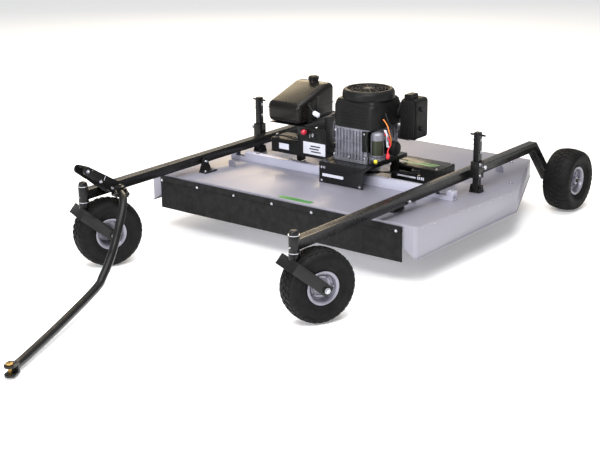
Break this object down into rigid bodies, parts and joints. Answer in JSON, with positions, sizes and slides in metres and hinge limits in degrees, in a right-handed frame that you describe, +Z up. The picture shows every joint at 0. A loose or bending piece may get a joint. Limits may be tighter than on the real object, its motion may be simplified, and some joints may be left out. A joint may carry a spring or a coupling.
{
  "type": "pull-behind rough-cut brush mower",
  "caption": "Offset-hitch brush mower: a deck with an engine on top, hung between side frames with front casters and rear wheels, and a bent hitch tongue.",
  "frame": {"origin": "on the ground, in the middle of the mower's width and of its length from the hitch's tip to the rear tyres", "axes": "+Z up. -Y is the way the mower is towed. +X is to the right when it is seen from the front"},
  "size_m": [1.655, 3.45, 0.751],
  "materials": {
    "frame_black": "gloss black powder coat",
    "deck_silver": "satin silver-grey paint",
    "engine_plastic": "fine-grained moulded",
    "cast_aluminium": "as cast",
    "steel": "machined",
    "zinc": "bright zinc plate",
    "rim_silver": "satin silver paint",
    "tyre_rubber": "matte, moulded tread",
    "flap_rubber": "matte reinforced sheet",
    "tank_plastic": "blow-moulded gloss",
    "red_plastic": "gloss",
    "brass_plate": "yellow zinc plate",
    "olive_steel": "satin"
  },
  "bodies": {
    "deck": {"deck_shell": "deck_silver", "deck_cross_channel": "deck_silver", "flap_clamp_bar": "flap_rubber", "left_spindle_housing": "steel", "right_spindle_housing": "steel", "drive_belt": "flap_rubber", "belt_cover_left": "frame_black", "belt_cover_right": "frame_black", "engine_base": "frame_black", "engine_crankcase": "cast_aluminium", "blower_housing": "engine_plastic", "air_cleaner": "engine_plastic", "starter_motor": "olive_steel", "oil_filter": "engine_plastic", "muffler": "steel", "fuel_tank": "tank_plastic", "tank_bracket": "frame_black", "battery": "engine_plastic", "control_panel": "frame_black", "left_pivot_bracket": "frame_black", "left_pivot_bolt": "zinc", "left_deck_lug": "frame_black", "right_pivot_bracket": "frame_black", "right_pivot_bolt": "zinc", "right_deck_lug": "frame_black"},
    "flap": {"front_flap": "flap_rubber"},
    "left_cutter": {"left_spindle": "steel", "left_blade": "steel"},
    "right_cutter": {"right_spindle": "steel", "right_blade": "steel"},
    "engine_rotor": {"crankshaft": "steel", "flywheel_screen": "engine_plastic"},
    "idler_lever": {"idler_arm": "steel"},
    "idler_wheel": {"idler_pulley": "steel"},
    "filler_cap": {"fuel_cap": "engine_plastic"},
    "choke": {"choke_knob": "red_plastic"},
    "key": {"ignition_key": "zinc"},
    "left_frame": {"left_side_frame": "frame_black", "hitch_bracket": "frame_black"},
    "left_post": {"left_lift_post": "frame_black"},
    "left_pin": {"left_height_pin": "zinc"},
    "left_caster": {"left_caster_fork": "frame_black", "left_hub_cap": "frame_black"},
    "left_caster_wheel": {"left_caster_tyre": "tyre_rubber", "left_caster_rim": "rim_silver"},
    "left_rear_wheel": {"left_rear_tyre": "tyre_rubber", "left_rear_rim": "rim_silver"},
    "right_frame": {"right_side_frame": "frame_black"},
    "right_post": {"right_lift_post": "frame_black"},
    "right_pin": {"right_height_pin": "zinc"},
    "right_caster": {"right_caster_fork": "frame_black", "right_hub_cap": "frame_black"},
    "right_caster_wheel": {"right_caster_tyre": "tyre_rubber", "right_caster_rim": "rim_silver"},
    "right_rear_wheel": {"right_rear_tyre": "tyre_rubber", "right_rear_rim": "rim_silver"},
    "yoke": {"tongue_yoke": "frame_black"},
    "tongue": {"tongue_tube": "frame_black", "hitch_clevis": "frame_black"},
    "draw_pin": {"hitch_pin": "brass_plate"}
  },
  "joints": [
    {"name": "right_spindle_spin", "type": "hinge", "parent": "deck", "child": "right_cutter", "pos_m": [0.362, 0.79, 0.25], "axis": [0, 0, 1], "continuous": true},
    {"name": "left_spindle_spin", "type": "hinge", "parent": "deck", "child": "left_cutter", "pos_m": [-0.362, 0.98, 0.25], "axis": [0, 0, 1], "continuous": true},
    {"name": "engine_spin", "type": "hinge", "parent": "deck", "child": "engine_rotor", "pos_m": [0.128, 0.615, 0.35], "axis": [0, 0, 1], "continuous": true},
    {"name": "idler_swing", "type": "hinge", "parent": "deck", "child": "idler_lever", "pos_m": [-0.01, 0.99, 0.33], "axis": [0, 0, 1], "range_deg": [0, 8], "stiffness_Nm_per_rad": 4, "springref_deg": -17.19},
    {"name": "idler_spin", "type": "hinge", "parent": "idler_lever", "child": "idler_wheel", "pos_m": [-0.08, 0.939, 0.35], "axis": [0, 0, 1], "continuous": true},
    {"name": "fuel_cap_turn", "type": "hinge", "parent": "deck", "child": "filler_cap", "pos_m": [-0.265, 0.682, 0.74], "axis": [0, 0, 1], "range_deg": [0, 120]},
    {"name": "choke_pull", "type": "slide", "parent": "deck", "child": "choke", "axis": [0, -1, 0], "range_m": [0, 0.012]},
    {"name": "ignition_turn", "type": "hinge", "parent": "deck", "child": "key", "pos_m": [-0.108, 0.466, 0.5], "axis": [0, -1, 0], "range_deg": [0, 60]},
    {"name": "flap_swing", "type": "hinge", "parent": "deck", "child": "flap", "pos_m": [0, 0.0166, 0.264], "axis": [1, 0, 0], "range_deg": [-30, 30]},
    {"name": "left_frame_pivot", "type": "hinge", "parent": "deck", "child": "left_frame", "pos_m": [-0.624, 0.196, 0.349], "axis": [1, 0, 0], "range_deg": [-2.5, 0]},
    {"name": "left_post_tilt", "type": "hinge", "parent": "deck", "child": "left_post", "pos_m": [-0.681, 0.742, 0.3], "axis": [1, 0, 0], "range_deg": [-1.4, 0]},
    {"name": "left_pin_pull", "type": "slide", "parent": "left_frame", "child": "left_pin", "axis": [-1, 0, 0], "range_m": [0, 0.02], "stiffness_N_per_m": 400, "springref_m": -0.01},
    {"name": "left_caster_swivel", "type": "hinge", "parent": "left_frame", "child": "left_caster", "pos_m": [-0.624, -0.62, 0.365], "axis": [0, 0, 1], "continuous": true},
    {"name": "left_caster_spin", "type": "hinge", "parent": "left_caster", "child": "left_caster_wheel", "pos_m": [-0.57836, -0.52212, 0.165], "axis": [0.9063, -0.4226, 0], "continuous": true},
    {"name": "left_rear_spin", "type": "hinge", "parent": "left_frame", "child": "left_rear_wheel", "pos_m": [-0.7525, 1.56, 0.165], "axis": [1, 0, 0], "continuous": true},
    {"name": "right_frame_pivot", "type": "hinge", "parent": "deck", "child": "right_frame", "pos_m": [0.624, 0.196, 0.349], "axis": [1, 0, 0], "range_deg": [-2.5, 0]},
    {"name": "right_post_tilt", "type": "hinge", "parent": "deck", "child": "right_post", "pos_m": [0.681, 0.742, 0.3], "axis": [1, 0, 0], "range_deg": [-1.4, 0]},
    {"name": "right_pin_pull", "type": "slide", "parent": "right_frame", "child": "right_pin", "axis": [1, 0, 0], "range_m": [0, 0.02], "stiffness_N_per_m": 400, "springref_m": -0.01},
    {"name": "right_caster_swivel", "type": "hinge", "parent": "right_frame", "child": "right_caster", "pos_m": [0.624, -0.62, 0.365], "axis": [0, 0, 1], "continuous": true},
    {"name": "right_caster_spin", "type": "hinge", "parent": "right_caster", "child": "right_caster_wheel", "pos_m": [0.66964, -0.52212, 0.165], "axis": [0.9063, -0.4226, 0], "continuous": true},
    {"name": "right_rear_spin", "type": "hinge", "parent": "right_frame", "child": "right_rear_wheel", "pos_m": [0.7525, 1.56, 0.165], "axis": [1, 0, 0], "continuous": true},
    {"name": "tongue_swing", "type": "hinge", "parent": "left_frame", "child": "yoke", "pos_m": [-0.505, -0.5, 0.37], "axis": [0, 0, 1], "range_deg": [-4, 15]},
    {"name": "tongue_lift", "type": "hinge", "parent": "yoke", "child": "tongue", "pos_m": [-0.46554, -0.52733, 0.366], "axis": [-0.5693, -0.8221, 0], "range_deg": [0, 35]},
    {"name": "hitch_pin_lift", "type": "slide", "parent": "tongue", "child": "draw_pin", "axis": [0, 0, 1], "range_m": [0, 0.06]}
  ],
  "couplings": [
    {"joint": "left_spindle_spin", "follows": "right_spindle_spin", "ratio": 1},
    {"joint": "engine_spin", "follows": "right_spindle_spin", "ratio": 1.2745},
    {"joint": "idler_spin", "follows": "right_spindle_spin", "ratio": 2.0312},
    {"joint": "left_post_tilt", "follows": "left_frame_pivot", "ratio": 0.5},
    {"joint": "right_post_tilt", "follows": "right_frame_pivot", "ratio": 0.5}
  ]
}
